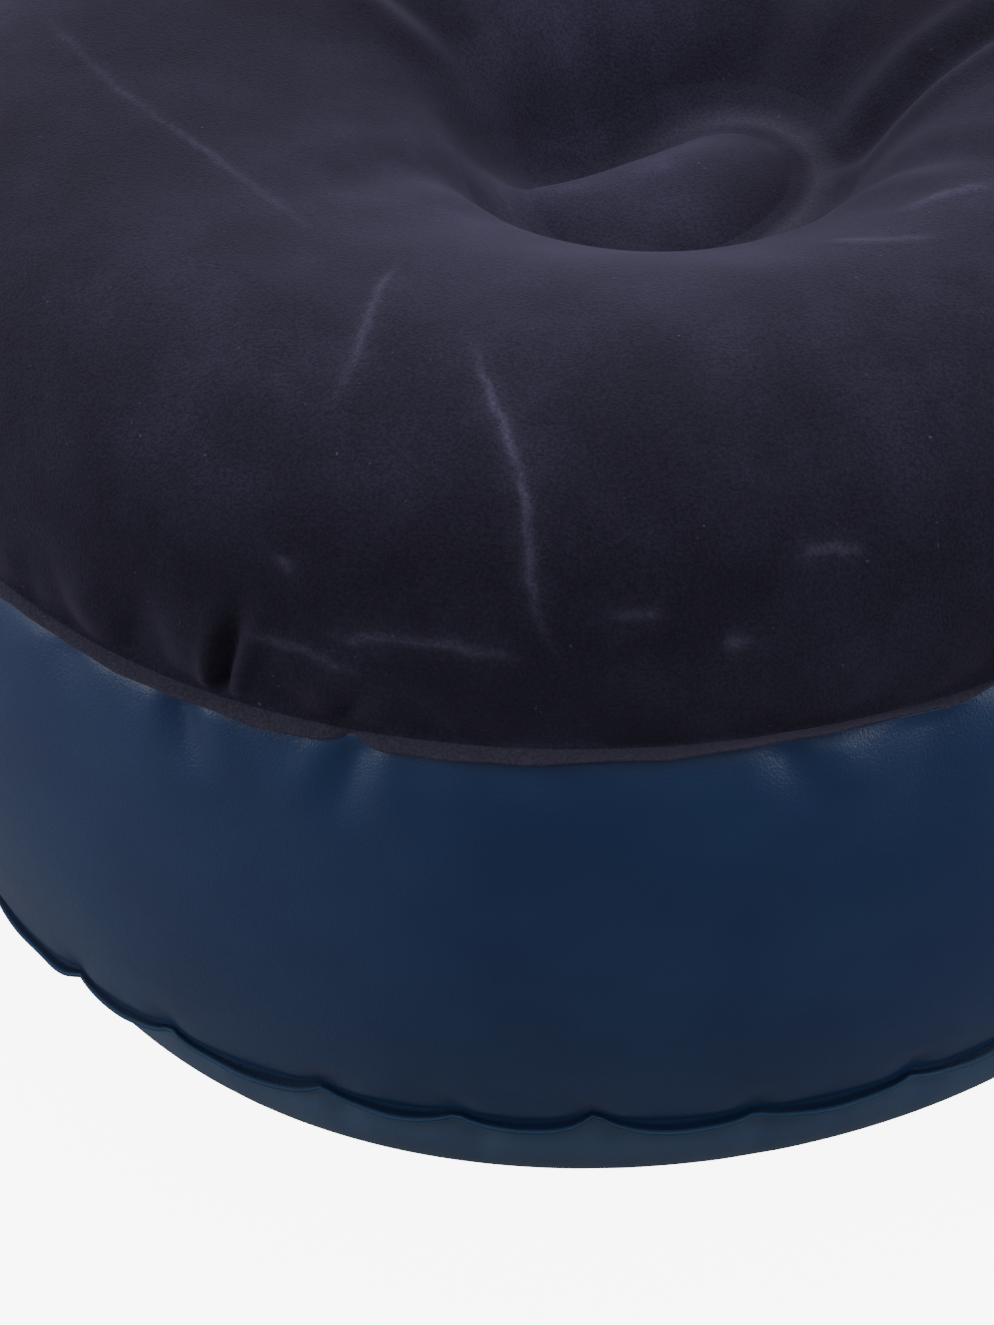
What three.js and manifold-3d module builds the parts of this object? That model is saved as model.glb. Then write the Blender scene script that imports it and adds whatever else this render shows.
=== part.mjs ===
// Inflatable camping footstool: three welded PVC sheets round one air chamber, a tube inside that
// ties the top to the bottom and pulls the dimple in, and a stopper valve at the back.
// Millimetres, +Z up. The origin is on the floor, on the axis of the round side band.

import * as THREE from 'three';
import { mergeVertices } from 'three/addons/utils/BufferGeometryUtils.js';
import Module from 'manifold-3d';

const wasm = await Module();
wasm.setup();

// Sheets and welds
const SEAM_RADIUS = 270;      // both round welds
const LOWER_SEAM_Z = 37;
const UPPER_SEAM_Z = 205;
const SHEET = 0.8;            // PVC sheet with its flock
const GAP = 0.3;              // between pieces that touch
const UPPER_WELD_WIDTH = 9;   // how far the upper weld stands out of the wall
const LOWER_WELD_WIDTH = 7;
const BAND_BULGE = 13;        // the side band swells by this at mid height
const CROWN_HEIGHT = 112;     // top of the crown above the upper weld
const DISC_HEIGHT = 50;       // floor of the dimple above the upper weld
const DISC_RADIUS = 65;       // round area inside the tether weld
const DISC_SWELL = 16;        // the disc inside the weld swells upwards by this
const DISC_OFFSET = 26;       // the tether stands this far off the axis, towards +X
const BASE_RECESS = 20;       // the tether lifts the middle of the bottom by this
const BASE_SWELL = 9;         // and the disc inside its weld swells down by this
const CROWN_FREE_RADIUS = 90;   // inside this the crown moves with the tether
const CROWN_STILL_RADIUS = 200; // and outside this it stays centred
const BASE_FREE_RADIUS = 66;
const BASE_STILL_RADIUS = 149;

// Tether tube
const TETHER_RADIUS = 57;
const TETHER_RING_WIDTH = 8;
const AIR_HOLE_RADIUS = 11;
const AIR_HOLES = 6;
const TUBE_INSET = 3;         // the tube stands this far outside the rings' inner edge
const CUTTER_LENGTH = 60;     // of the round cutters that make the holes

// Valve, at the back (+Y), half way up the band
const VALVE_Z = (LOWER_SEAM_Z + UPPER_SEAM_Z) / 2;
const PLATE_RADIUS = 24;
const PLATE_MIDDLE_RADIUS = 18.5;
const PLATE_INNER_RADIUS = 11.5;
const PLATE_THICKNESS = 1.2;
const NECK_RADIUS = 13;
const NECK_BORE = 10;
const NECK_DEPTH = 14;        // the neck reaches this far into the air chamber
const NECK_RISE = 2;          // and stands this far out of the band
const PLUG_HEAD_RADIUS = 15;
const PLUG_HEAD = 2;
const PLUG_DEPTH = 8;
const PLUG_TOP_RADIUS = 9.6;
const PLUG_END_RADIUS = 7.8;
const INFLATION_BORE = 5;
const CAP_HEAD_RADIUS = 8;
const CAP_HEAD = 1.6;
const CAP_DEPTH = 4;
const CAP_TOP_RADIUS = 4.6;
const CAP_END_RADIUS = 3.4;
const STRAP_WIDTH = 7;
const STRAP_THICKNESS = 1.2;
const PLUG_HINGE_X = -19;
const CAP_HINGE_X = 13;
const LUG_LENGTH = 4;
const LUG_THICKNESS = 2.4;
const LUG_SINK = 0.5;           // the lug is rooted this far into the plate
const OVERLAP = 1;              // of a strap and the head it grows from
const CAP_STRAP_WIDTH = 5;
const CAP_STRAP_THICKNESS = 1;
const TAB_LENGTH = 5;           // pull tab on the small stopper
const TAB_WIDTH = 6;
const TAB_THICKNESS = 1.2;
const TAB_STEP = 0.2;
const HINGE_GAP = 0.8;          // room for the strap's end to turn in
const FLAP_RADIUS = 6.5;
const FLAP_THICKNESS = 0.6;

const ROUND_SEGMENTS = 40;
const SMALL_SEGMENTS = 20;
const CROWN_POINTS = 18;
const RIM_POINTS = 8;
const MIDDLE_POINTS = 5;
const WALL_STEPS = 8;

const point = (radius, height) => new THREE.Vector2(radius, height);

// Shared vertices, no slivers and faces pointing out.
function tidy(geometry) {
  const bare = geometry.clone();
  bare.deleteAttribute('normal');
  bare.deleteAttribute('uv');
  const merged = mergeVertices(bare, 1e-3);
  const index = merged.index.array;
  const kept = [];
  for (let i = 0; i < index.length; i += 3) {
    const [a, b, c] = [index[i], index[i + 1], index[i + 2]];
    if (a !== b && b !== c && c !== a) kept.push(a, b, c);
  }
  if (signedVolume(merged, kept) < 0) kept.reverse();
  merged.setIndex(kept);
  return merged;
}

function signedVolume(geometry, index) {
  const corner = (i) => new THREE.Vector3().fromBufferAttribute(geometry.attributes.position, i);
  let volume = 0;
  for (let i = 0; i < index.length; i += 3) {
    const side = corner(index[i]).cross(corner(index[i + 1]));
    volume += side.dot(corner(index[i + 2])) / 6;
  }
  return volume;
}

function toManifold(geometry) {
  const clean = tidy(geometry);
  return new wasm.Manifold(new wasm.Mesh({
    numProp: 3,
    vertProperties: new Float32Array(clean.attributes.position.array),
    triVerts: new Uint32Array(clean.index.array),
  }));
}

function fromManifold(manifold) {
  const mesh = manifold.getMesh();
  const geometry = new THREE.BufferGeometry();
  geometry.setAttribute('position', new THREE.BufferAttribute(mesh.vertProperties, 3));
  geometry.setIndex(new THREE.BufferAttribute(mesh.triVerts, 1));
  return geometry;
}

// A closed outline of (radius, height) points turned about Z.
function turned(outline, segments) {
  const closed = outline[0].x === 0 ? outline : [...outline, outline[0].clone()];
  return tidy(new THREE.LatheGeometry(closed, segments).rotateX(Math.PI / 2));
}

// The same, turned about +Y through the valve's centre, with heights as distances out along +Y.
function turnedAtValve(outline) {
  const geometry = turned(outline, SMALL_SEGMENTS).rotateX(-Math.PI / 2);
  return geometry.translate(0, 0, VALVE_Z);
}

// A line of points moved sideways, to give a sheet its thickness.
function moved(line, distance) {
  return line.map((spot, i) => {
    const before = line[Math.max(i - 1, 0)];
    const after = line[Math.min(i + 1, line.length - 1)];
    const along = after.clone().sub(before).normalize();
    return point(spot.x === 0 ? 0 : spot.x - along.y * distance, spot.y + along.x * distance);
  });
}

function sheetOutline(line, distance) {
  return [...line, ...moved(line, distance).reverse()];
}

// Slides the middle of a round sheet to the tether, and leaves the rim where it is.
function shiftMiddle(geometry, free, still) {
  const position = geometry.attributes.position;
  for (let i = 0; i < position.count; i += 1) {
    const radius = Math.hypot(position.getX(i), position.getY(i));
    const share = 1 - THREE.MathUtils.smoothstep(radius, free, still);
    position.setX(i, position.getX(i) + DISC_OFFSET * share);
  }
  return geometry;
}

function bandRadius(z) {
  const share = (z - LOWER_SEAM_Z) / (UPPER_SEAM_Z - LOWER_SEAM_Z);
  return SEAM_RADIUS + BAND_BULGE * Math.sin(Math.PI * share);
}

// The disc inside a tether weld, from the weld in to the middle.
function discSwell(z, swell) {
  return [0.7, 0.35, 0].map((share) => point(TETHER_RADIUS * share, z + swell * (1 - share ** 2)));
}

// The flocked top: weld, full round crown, and the dimple over the tether.
function topPanel() {
  const weldTop = UPPER_SEAM_Z + GAP / 2 + SHEET;
  const rise = (radius, share) => point(radius, weldTop + share * CROWN_HEIGHT);
  const dimple = weldTop + DISC_HEIGHT;
  const crown = new THREE.SplineCurve([
    point(SEAM_RADIUS, weldTop),
    rise(272, 0.2),
    rise(262, 0.6),
    rise(238, 0.86),
    rise(205, 0.98),
    rise(172, 1),
    rise(138, 0.96),
    rise(108, 0.87),
    rise(88, 0.75),
    point(DISC_RADIUS + 10, dimple + 14),
    point(DISC_RADIUS, dimple),
  ]).getPoints(CROWN_POINTS);
  const weldEdge = point(SEAM_RADIUS + UPPER_WELD_WIDTH, weldTop);
  const weldLine = point(TETHER_RADIUS, dimple);
  const line = [weldEdge, ...crown, weldLine, ...discSwell(dimple, DISC_SWELL)];
  const sheet = turned(sheetOutline(line, SHEET), ROUND_SEGMENTS);
  return shiftMiddle(sheet, CROWN_FREE_RADIUS, CROWN_STILL_RADIUS);
}

// The plain side band, with both of its weld edges turned out.
function sideBand() {
  const top = UPPER_SEAM_Z - GAP / 2;
  const bottom = LOWER_SEAM_Z + GAP / 2;
  const wall = [];
  for (let i = 0; i <= WALL_STEPS; i += 1) {
    const z = THREE.MathUtils.lerp(top - SHEET, bottom + SHEET, i / WALL_STEPS);
    wall.push(point(bandRadius(z), z));
  }
  const inner = wall.map((spot) => point(spot.x - SHEET, spot.y)).reverse();
  inner[0].y = bottom;
  inner[WALL_STEPS].y = top;
  const outline = [
    point(SEAM_RADIUS + UPPER_WELD_WIDTH, top),
    point(SEAM_RADIUS + UPPER_WELD_WIDTH, top - SHEET),
    ...wall,
    point(SEAM_RADIUS + LOWER_WELD_WIDTH, bottom + SHEET),
    point(SEAM_RADIUS + LOWER_WELD_WIDTH, bottom),
    ...inner,
  ];
  const cut = NECK_RADIUS + GAP;
  const hole = new THREE.CylinderGeometry(cut, cut, CUTTER_LENGTH, SMALL_SEGMENTS);
  hole.translate(0, SEAM_RADIUS, VALVE_Z);
  const band = toManifold(turned(outline, ROUND_SEGMENTS));
  return fromManifold(band.subtract(toManifold(hole)));
}

// The bottom: a round rim under the weld, a flat ring that rests on the floor, a raised middle.
function bottomPanel() {
  const weldBottom = LOWER_SEAM_Z - GAP / 2 - SHEET;
  const rim = new THREE.SplineCurve([
    point(SEAM_RADIUS, weldBottom),
    point(273, 23),
    point(270, 11),
    point(262, 3),
    point(250, 0),
  ]).getPoints(RIM_POINTS);
  const middle = new THREE.SplineCurve([
    point(150, 0),
    point(115, 5),
    point(85, 15),
    point(DISC_RADIUS, BASE_RECESS),
  ]).getPoints(MIDDLE_POINTS);
  const weldEdge = point(SEAM_RADIUS + LOWER_WELD_WIDTH, weldBottom);
  const weldLine = point(TETHER_RADIUS, BASE_RECESS);
  const line = [weldEdge, ...rim, ...middle, weldLine, ...discSwell(BASE_RECESS, -BASE_SWELL)];
  const sheet = turned(sheetOutline(line, -SHEET), ROUND_SEGMENTS);
  return shiftMiddle(sheet, BASE_FREE_RADIUS, BASE_STILL_RADIUS);
}

function tetherRing(z) {
  const outer = TETHER_RADIUS + TETHER_RING_WIDTH;
  const outline = [
    point(TETHER_RADIUS, z),
    point(outer, z),
    point(outer, z + SHEET),
    point(TETHER_RADIUS, z + SHEET),
  ];
  return turned(outline, ROUND_SEGMENTS).translate(DISC_OFFSET, 0, 0);
}

// The tube inside, with holes that let the air past.
function tetherTube(low, high) {
  const inside = TETHER_RADIUS + TUBE_INSET;
  const outline = [
    point(inside, low),
    point(inside + SHEET, low),
    point(inside + SHEET, high),
    point(inside, high),
  ];
  let tube = toManifold(turned(outline, ROUND_SEGMENTS));
  for (let i = 0; i < AIR_HOLES; i += 1) {
    const hole = new THREE.CylinderGeometry(
      AIR_HOLE_RADIUS, AIR_HOLE_RADIUS, CUTTER_LENGTH, SMALL_SEGMENTS);
    hole.translate(0, TETHER_RADIUS, (low + high) / 2);
    hole.rotateZ((i + 0.5) * 2 * Math.PI / AIR_HOLES);
    tube = tube.subtract(toManifold(hole));
  }
  return fromManifold(tube).translate(DISC_OFFSET, 0, 0);
}

const valveFace = bandRadius(VALVE_Z);
const strapLow = valveFace + NECK_RISE + GAP;

// A flat strip between two X positions, lying across the valve's front.
function strip(fromX, toX, lowY, thickness, width) {
  const box = new THREE.BoxGeometry(Math.abs(toX - fromX), thickness, width);
  return box.translate((fromX + toX) / 2, lowY + thickness / 2, VALVE_Z);
}

// The welded plate follows the curved band; the neck goes straight in.
function valveBase() {
  const rings = [PLATE_INNER_RADIUS, NECK_RADIUS, PLATE_MIDDLE_RADIUS, PLATE_RADIUS];
  const outline = [
    ...rings.map((radius) => point(radius, GAP)),
    ...rings.reverse().map((radius) => point(radius, GAP + PLATE_THICKNESS)),
  ];
  const plate = turnedAtValve(outline);
  const position = plate.attributes.position;
  for (let i = 0; i < position.count; i += 1) {
    const surface = Math.sqrt(bandRadius(position.getZ(i)) ** 2 - position.getX(i) ** 2);
    position.setY(i, position.getY(i) + surface);
  }
  const neck = turnedAtValve([
    point(NECK_BORE, valveFace - NECK_DEPTH),
    point(NECK_RADIUS, valveFace - NECK_DEPTH),
    point(NECK_RADIUS, valveFace + NECK_RISE),
    point(NECK_BORE, valveFace + NECK_RISE),
  ]);
  const lugX = PLUG_HINGE_X - HINGE_GAP;
  const lug = strip(lugX, lugX - LUG_LENGTH, valveFace - LUG_SINK, LUG_THICKNESS, STRAP_WIDTH);
  return fromManifold(toManifold(plate).add(toManifold(neck)).add(toManifold(lug)));
}

// The large stopper, on its strap, with the bore for the pump in its middle.
function valvePlug() {
  const end = valveFace + NECK_RISE - PLUG_DEPTH;
  const seat = valveFace + NECK_RISE + GAP;
  const stopper = turnedAtValve([
    point(INFLATION_BORE, end),
    point(PLUG_END_RADIUS, end),
    point(PLUG_TOP_RADIUS, seat),
    point(PLUG_HEAD_RADIUS, seat),
    point(PLUG_HEAD_RADIUS, seat + PLUG_HEAD),
    point(INFLATION_BORE, seat + PLUG_HEAD),
  ]);
  const root = OVERLAP - PLUG_HEAD_RADIUS;
  const strap = strip(PLUG_HINGE_X, root, strapLow, STRAP_THICKNESS, STRAP_WIDTH);
  return fromManifold(toManifold(stopper).add(toManifold(strap)));
}

// The small stopper that closes the pump bore, with its strap and a pull tab.
function valveCap() {
  const seat = valveFace + NECK_RISE + 2 * GAP + PLUG_HEAD;
  const stopper = turnedAtValve([
    point(0, seat - CAP_DEPTH),
    point(CAP_END_RADIUS, seat - CAP_DEPTH),
    point(CAP_TOP_RADIUS, seat),
    point(CAP_HEAD_RADIUS, seat),
    point(CAP_HEAD_RADIUS, seat + CAP_HEAD),
    point(0, seat + CAP_HEAD),
  ]);
  const root = CAP_HEAD_RADIUS - OVERLAP;
  const tabEnd = -CAP_HEAD_RADIUS - TAB_LENGTH;
  const strap = strip(root, CAP_HINGE_X, seat, CAP_STRAP_THICKNESS, CAP_STRAP_WIDTH);
  const tab = strip(-root, tabEnd, seat + TAB_STEP, TAB_THICKNESS, TAB_WIDTH);
  return fromManifold(toManifold(stopper).add(toManifold(strap)).add(toManifold(tab)));
}

// The one-way flap that hangs over the inner end of the plug's bore.
function valveFlap() {
  const top = valveFace + NECK_RISE - PLUG_DEPTH - GAP;
  return turnedAtValve([
    point(0, top - FLAP_THICKNESS),
    point(FLAP_RADIUS, top - FLAP_THICKNESS),
    point(FLAP_RADIUS, top),
    point(0, top),
  ]);
}

const finishes = {
  flock: { color: 0x2a2937, roughness: 0.95 },
  band: { color: 0x1b3553, roughness: 0.45 },
  bottom: { color: 0x24384d, roughness: 0.5 },
  inner: { color: 0x5a6069, roughness: 0.6 },
  valve: { color: 0x1c2b40, roughness: 0.4 },
  flap: { color: 0xb9bcbd, roughness: 0.5 },
};

const footstool = new THREE.Group();

function addPiece(name, geometry, finish) {
  const material = new THREE.MeshStandardMaterial({ ...finishes[finish], metalness: 0 });
  const mesh = new THREE.Mesh(geometry, material);
  mesh.name = name;
  footstool.add(mesh);
}

const lowerRingZ = BASE_RECESS + SHEET + GAP;
const upperRingZ = UPPER_SEAM_Z + GAP / 2 + DISC_HEIGHT - GAP - SHEET;

addPiece('top_panel', topPanel(), 'flock');
addPiece('side_band', sideBand(), 'band');
addPiece('bottom_panel', bottomPanel(), 'bottom');
addPiece('tether_top_ring', tetherRing(upperRingZ), 'inner');
addPiece('tether_tube', tetherTube(lowerRingZ + SHEET + GAP, upperRingZ - GAP), 'inner');
addPiece('tether_bottom_ring', tetherRing(lowerRingZ), 'inner');
addPiece('valve_base', valveBase(), 'valve');
addPiece('valve_plug', valvePlug(), 'valve');
addPiece('valve_cap', valveCap(), 'valve');
addPiece('valve_flap', valveFlap(), 'flap');

export default footstool;
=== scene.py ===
import math
import bpy
import numpy as np
from mathutils import Matrix, Vector


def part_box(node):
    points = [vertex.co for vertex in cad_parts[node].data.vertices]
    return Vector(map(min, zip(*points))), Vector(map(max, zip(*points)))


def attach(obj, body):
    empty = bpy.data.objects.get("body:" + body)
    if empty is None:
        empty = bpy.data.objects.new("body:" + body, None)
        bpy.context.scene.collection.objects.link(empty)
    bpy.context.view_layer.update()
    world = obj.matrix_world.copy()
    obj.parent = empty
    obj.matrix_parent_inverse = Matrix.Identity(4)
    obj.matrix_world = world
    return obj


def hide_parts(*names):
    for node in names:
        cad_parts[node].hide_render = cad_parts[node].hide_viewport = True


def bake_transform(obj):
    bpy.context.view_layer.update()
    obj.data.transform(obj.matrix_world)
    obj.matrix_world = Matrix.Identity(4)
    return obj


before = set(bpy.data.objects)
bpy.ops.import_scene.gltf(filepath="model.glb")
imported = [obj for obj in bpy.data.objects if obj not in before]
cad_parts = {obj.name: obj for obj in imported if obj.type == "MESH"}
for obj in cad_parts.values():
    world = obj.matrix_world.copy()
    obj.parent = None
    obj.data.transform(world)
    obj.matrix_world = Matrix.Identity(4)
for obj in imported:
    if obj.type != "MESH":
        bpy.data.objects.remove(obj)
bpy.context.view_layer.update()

mm = 0.001

# Angles are in degrees round +Z, and -90 is the front.
welds = {
    "thickness": 1.0, "upperWidth": 9, "lowerWidth": 7,     # mm
    "pinches": [(-140, 26, 0.2), (-107, 1.3, 0.62), (-60, 2.2, 0.5), (20, 1.6, 0.8), (75, 2, 0.6),
                (160, 1.6, 0.7)],                           # (angle, half width, how much narrower)
    "notches": [-165, -151, -135.8, -125.4, -111.6, -100.9, -90.5, -78.5, -66, -55, -42, -31, -18, -5,
                8, 20, 34, 45, 59, 70, 83, 97, 108, 121, 133, 147, 158, 172, 182.5],
    "notchReach": 2.0, "notchRise": 9, "hang": 2.4,         # degrees, mm, mm
    "leftAngle": -150, "leftReach": 22, "leftRise": 4, "leftDrop": 4.5,
}

topLow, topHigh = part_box("top_panel")
bandLow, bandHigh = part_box("side_band")
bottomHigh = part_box("bottom_panel")[1]
ringLow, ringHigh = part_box("tether_top_ring")
valveLow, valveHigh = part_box("valve_base")
baseRingLow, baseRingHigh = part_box("tether_bottom_ring")

upperWeldZ = (topLow.z + bandHigh.z) / 2
lowerWeldZ = (bottomHigh.z + bandLow.z) / 2
seamRadius = topHigh.x - welds["upperWidth"] * mm   # the weld line; the rest stands out as a ribbon
discX = (ringLow.x + ringHigh.x) / 2                # the tether's axis, a little off the middle
discRadius = (ringHigh.x - ringLow.x) / 2
valveZ = (valveLow.z + valveHigh.z) / 2


def linearColour(text):
    parts = [int(text[i:i + 2], 16) / 255 for i in (1, 3, 5)]
    return tuple(c / 12.92 if c <= 0.04045 else ((c + 0.055) / 1.055) ** 2.4 for c in parts) + (1.0,)


def easeBetween(value, low, high):
    share = np.clip((value - low) / (high - low), 0, 1)
    return share * share * (3 - 2 * share)


def smoothLine(points, count):
    # a Catmull-Rom line through the points, at even steps of its length
    points = np.array(points, float)
    padded = np.vstack([2 * points[0] - points[1], points, 2 * points[-1] - points[-2]])
    fine = []
    for i in range(len(points) - 1):
        a, b, c, d = padded[i:i + 4]
        for t in np.linspace(0, 1, 24, endpoint=False):
            fine.append(0.5 * (2 * b + (c - a) * t + (2 * a - 5 * b + 4 * c - d) * t ** 2
                               + (3 * b - a - 3 * c + d) * t ** 3))
    fine = np.array(fine + [points[-1]])
    length = np.concatenate([[0], np.cumsum(np.linalg.norm(np.diff(fine, axis=0), axis=1))])
    wanted = np.linspace(0, length[-1], count)
    return np.stack([np.interp(wanted, length, fine[:, k]) for k in range(points.shape[1])], axis=1)


def softNoise(points, size, seed):
    # smooth bumps about `size` across, from -1 to 1, the same on each run
    table = np.random.default_rng(seed).uniform(-1, 1, (16, 16, 16))
    place = points / size
    cell = np.floor(place).astype(int)
    part = place - cell
    part = part * part * (3 - 2 * part)
    total = np.zeros(len(points))
    for corner in np.ndindex(2, 2, 2):
        weight = np.prod(np.where(corner, part, 1 - part), axis=1)
        index = (cell + np.array(corner)) % 16
        total += weight * table[index[:, 0], index[:, 1], index[:, 2]]
    return total


def readPoints(piece):
    flat = np.zeros(len(piece.data.vertices) * 3)
    piece.data.vertices.foreach_get("co", flat)
    return flat.reshape(-1, 3)


def readNormals(piece):
    flat = np.zeros(len(piece.data.vertices) * 3)
    piece.data.vertex_normals.foreach_get("vector", flat)
    return flat.reshape(-1, 3)


def writePoints(piece, points):
    piece.data.vertices.foreach_set("co", points.astype(np.float32).ravel())
    piece.data.update()


def paint(piece, name, values):
    layer = piece.data.attributes.new(name, "FLOAT", "POINT")
    layer.data.foreach_set("value", values.astype(np.float32))


def turnProfile(name, profile, steps, axis=(0, 0, 1), centre=(0, 0, 0)):
    # one corner of a plane is drawn out along the profile, and the line is spun round
    bpy.ops.object.select_all(action="DESELECT")
    bpy.ops.mesh.primitive_plane_add(size=mm)
    piece = bpy.context.object
    piece.name = name
    bpy.ops.object.mode_set(mode="EDIT")
    bpy.ops.mesh.select_mode(type="VERT")
    bpy.ops.mesh.select_all(action="SELECT")
    bpy.ops.mesh.merge(type="CENTER")
    bpy.ops.transform.translate(value=profile[0])
    for before, after in zip(profile, profile[1:]):
        bpy.ops.mesh.extrude_region_move(TRANSFORM_OT_translate={"value": Vector(after) - Vector(before)})
    bpy.ops.mesh.select_all(action="SELECT")
    bpy.ops.mesh.spin(steps=steps, angle=2 * math.pi, center=centre, axis=axis, use_auto_merge=True)
    bpy.ops.mesh.select_all(action="SELECT")
    bpy.ops.mesh.remove_doubles(threshold=0.01 * mm)
    bpy.ops.mesh.normals_make_consistent(inside=False)
    bpy.ops.object.mode_set(mode="OBJECT")
    return piece


def closeEnds(piece):
    # each small hole left round the axis is drawn to one point
    bpy.ops.object.mode_set(mode="EDIT")
    bpy.ops.mesh.select_mode(type="EDGE")
    bpy.ops.mesh.select_all(action="DESELECT")
    bpy.ops.mesh.select_non_manifold(extend=False, use_wire=False, use_multi_face=False,
                                     use_non_contiguous=False, use_verts=False)
    bpy.ops.mesh.edge_collapse()
    bpy.ops.mesh.select_all(action="SELECT")
    bpy.ops.mesh.normals_make_consistent(inside=False)
    bpy.ops.object.mode_set(mode="OBJECT")


def outwardNormals(piece, points):
    # normals of the outer skin; on the inner skin they are turned to point out too
    normals = readNormals(piece)
    radius = np.hypot(points[:, 0], points[:, 1]) + 1e-9
    sideways = (normals[:, 0] * points[:, 0] + normals[:, 1] * points[:, 1]) / radius
    return normals, sideways * (radius / seamRadius) ** 4


def inPlane(line):
    return [(r, 0, z) for r, z in line]


def useModifier(piece, kind, **settings):
    bpy.ops.object.select_all(action="DESELECT")
    bpy.context.view_layer.objects.active = piece
    piece.select_set(True)
    modifier = piece.modifiers.new(kind.lower(), kind)
    for key, value in settings.items():
        setattr(modifier, key, value)
    bpy.ops.object.modifier_apply(modifier=modifier.name)


def smoothShade(piece):
    bpy.ops.object.select_all(action="DESELECT")
    bpy.context.view_layer.objects.active = piece
    piece.select_set(True)
    bpy.ops.object.shade_smooth()


def addNode(tree, kind, settings=None, inputs=None):
    node = tree.nodes.new(kind)
    for key, value in (settings or {}).items():
        setattr(node, key, value)
    for key, value in (inputs or {}).items():
        if isinstance(value, bpy.types.NodeSocket):
            tree.links.new(value, node.inputs[key])
        else:
            node.inputs[key].default_value = value
    return node


def newMaterial(name):
    material = bpy.data.materials.new(name)
    material.use_nodes = True
    shader = material.node_tree.nodes["Principled BSDF"]
    place = addNode(material.node_tree, "ShaderNodeTexCoord").outputs["Object"]
    return material, material.node_tree, shader, place


def patternScale(sizeMm):
    # what a texture's Scale is when one bump is about sizeMm across
    return 1 / (sizeMm * mm)


# Flocked PVC: nylon fibres stood up in glue on a soft sheet. It gives a matt, near black velvet that
# turns lighter where the pile is brushed over, crushed or seen along its edge; painted light and shade are
# multiplied into its colour too.
flock = {"pile": "#272433", "brushed": "#2f2c3e", "crushed": "#5a556e", "weld": "#3d3a4a", "lint": "#4b4760",
         "fibreMm": 1.1,     # real fibres are 0.3 mm; drawn coarser to show
         "lintMm": 2.2, "brushMm": 34, "sheen": 0.25}


def flockMaterial():
    material, tree, shader, place = newMaterial("flockedVelvetOnPvc")
    patterns = []
    for sizeMm, detail, rough, low, high in ((flock["brushMm"], 4, 0.6, 0.35, 0.75),
                                             (flock["fibreMm"], 2, 0.7, 0.3, 0.7),
                                             (flock["lintMm"], 1, 0.4, 0.78, 0.84)):
        noise = addNode(tree, "ShaderNodeTexNoise", None, {"Vector": place, "Scale": patternScale(sizeMm),
                                                           "Detail": detail, "Roughness": rough})
        spread = addNode(tree, "ShaderNodeMapRange", {"interpolation_type": "SMOOTHSTEP"},
                         {"Value": noise.outputs["Fac"], "From Min": low, "From Max": high})
        patterns.append(spread.outputs[0])
    brushing, fibres, lint = patterns
    crease, weld, toneAndPaintedLight = (addNode(tree, "ShaderNodeAttribute", {"attribute_name": name}).outputs["Fac"]
                         for name in ("crease", "weld", "toneAndPaintedLight"))
    colour = linearColour(flock["pile"])
    for share, other in ((brushing, "brushed"), (crease, "crushed"), (weld, "weld"), (lint, "lint")):
        colour = addNode(tree, "ShaderNodeMix", {"data_type": "RGBA"},
                         {0: share, 6: colour, 7: linearColour(flock[other])}).outputs[2]
    # the colour is multiplied by the fibre grain and by the random tone with painted light and shade
    fibre = addNode(tree, "ShaderNodeMath", {"operation": "MULTIPLY_ADD"}, {0: fibres, 1: 0.5, 2: 0.75})
    light = addNode(tree, "ShaderNodeMath", {"operation": "MULTIPLY"}, {0: fibre.outputs[0], 1: toneAndPaintedLight})
    grey = addNode(tree, "ShaderNodeCombineColor", None, {channel: light.outputs[0] for channel in range(3)})
    colour = addNode(tree, "ShaderNodeMix", {"data_type": "RGBA", "blend_type": "MULTIPLY"},
                     {0: 1.0, 6: colour, 7: grey.outputs[0]}).outputs[2]
    tree.links.new(colour, shader.inputs["Base Color"])
    bump = addNode(tree, "ShaderNodeBump", None,
                   {"Strength": 0.35, "Distance": 0.4 * mm, "Height": fibres})
    tree.links.new(bump.outputs[0], shader.inputs["Normal"])
    shader.inputs["Roughness"].default_value = 0.95
    shader.inputs["Specular IOR Level"].default_value = 0.15
    shader.inputs["Sheen Weight"].default_value = flock["sheen"]
    shader.inputs["Sheen Roughness"].default_value = 0.45
    shader.inputs["Sheen Tint"].default_value = linearColour("#b0a4cc")
    return material


# Calendered soft PVC: rolled between a smooth and a finely grained roll. It gives a satin skin with
# a fine grain that breaks highlights up into specks.
# the two weld colours are painted light: a pale highlight line along each weld's outer edge, and dark shade
# on the weld's face
skin = {"grainMm": 0.9, "rippleMm": 26, "cloudMm": 60, "paintedEdgeHighlight": "#557399", "shadedWeldFace": "#081730"}


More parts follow.
